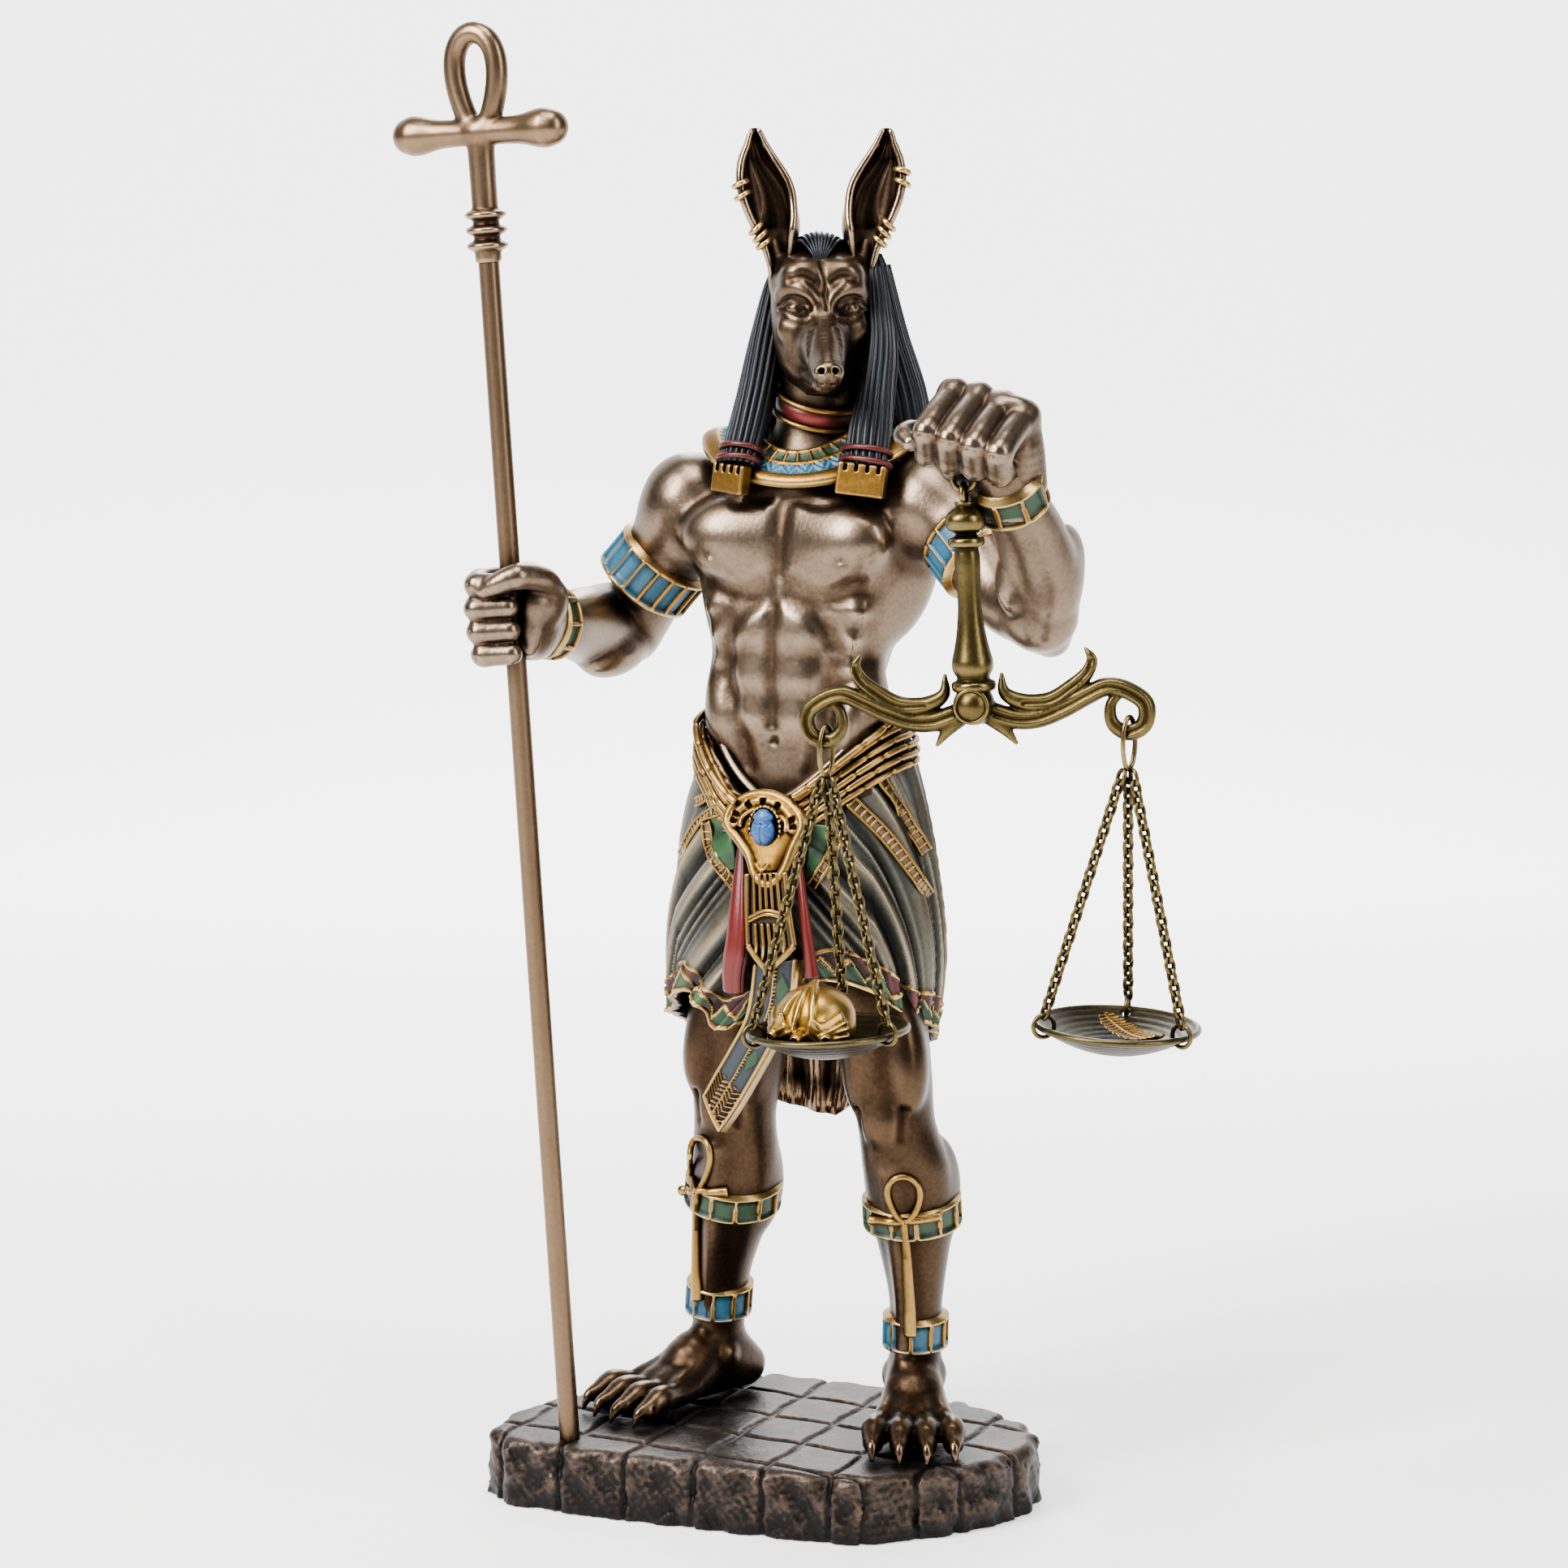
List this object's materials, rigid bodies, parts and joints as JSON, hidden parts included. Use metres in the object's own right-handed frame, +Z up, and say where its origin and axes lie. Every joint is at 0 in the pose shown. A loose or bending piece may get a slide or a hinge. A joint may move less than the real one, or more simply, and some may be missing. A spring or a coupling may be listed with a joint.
{
  "type": "anubis standing statue",
  "caption": "Standing jackal-headed guardian statue in cast bronze finish on a paved base, holding an ankh-topped staff and a hanging balance that weighs a heart against a feather.",
  "frame": {"origin": "centre of the base's underside", "axes": "+Z up the figure, -Y towards the front of the figure, +X towards the figure's left hand"},
  "size_m": [0.1643, 0.0842, 0.2972],
  "materials": {
    "cast_bronze": "cold-cast bronze resin, brown patina in the hollows, rubbed bright on the high parts",
    "stone_bronze": "dark stone-textured casting, dry-brushed bronze on the rough edge",
    "satin_bronze": "pale satin bronze, finely brushed along its length",
    "aged_brass": "antique brass, dark in the hollows",
    "dark_brass": "dark olive-brown antique brass",
    "gold_leaf": "gold paint over cast relief, brown wash in the hollows",
    "blue_black_hair": "blue-black paint over cast strands, rubbed at the ridges",
    "turquoise_enamel": "turquoise paint with a dark wash, in gold frames",
    "green_enamel": "dark green paint with a dark wash, in gold frames",
    "red_enamel": "dark red paint over cast folds",
    "verdigris_cloth": "grey-green metallic paint over cast cloth folds, rubbed bronze at the ridges"
  },
  "bodies": {
    "root": {"base": "stone_bronze", "figure": "cast_bronze", "staff_rod": "satin_bronze", "staff_ankh": "satin_bronze", "hanging_ring": "aged_brass", "balance_beam": "aged_brass", "left_hanger_link": "aged_brass", "left_pan": "dark_brass", "left_chain_1": "aged_brass", "left_pan_ring_1": "aged_brass", "left_chain_2": "aged_brass", "left_pan_ring_2": "aged_brass", "left_chain_3": "aged_brass", "left_pan_ring_3": "aged_brass", "right_hanger_link": "aged_brass", "right_pan": "dark_brass", "right_chain_1": "aged_brass", "right_pan_ring_1": "aged_brass", "right_chain_2": "aged_brass", "right_pan_ring_2": "aged_brass", "right_chain_3": "aged_brass", "right_pan_ring_3": "aged_brass", "heart": "gold_leaf", "feather": "cast_bronze"}
  },
  "joints": []
}
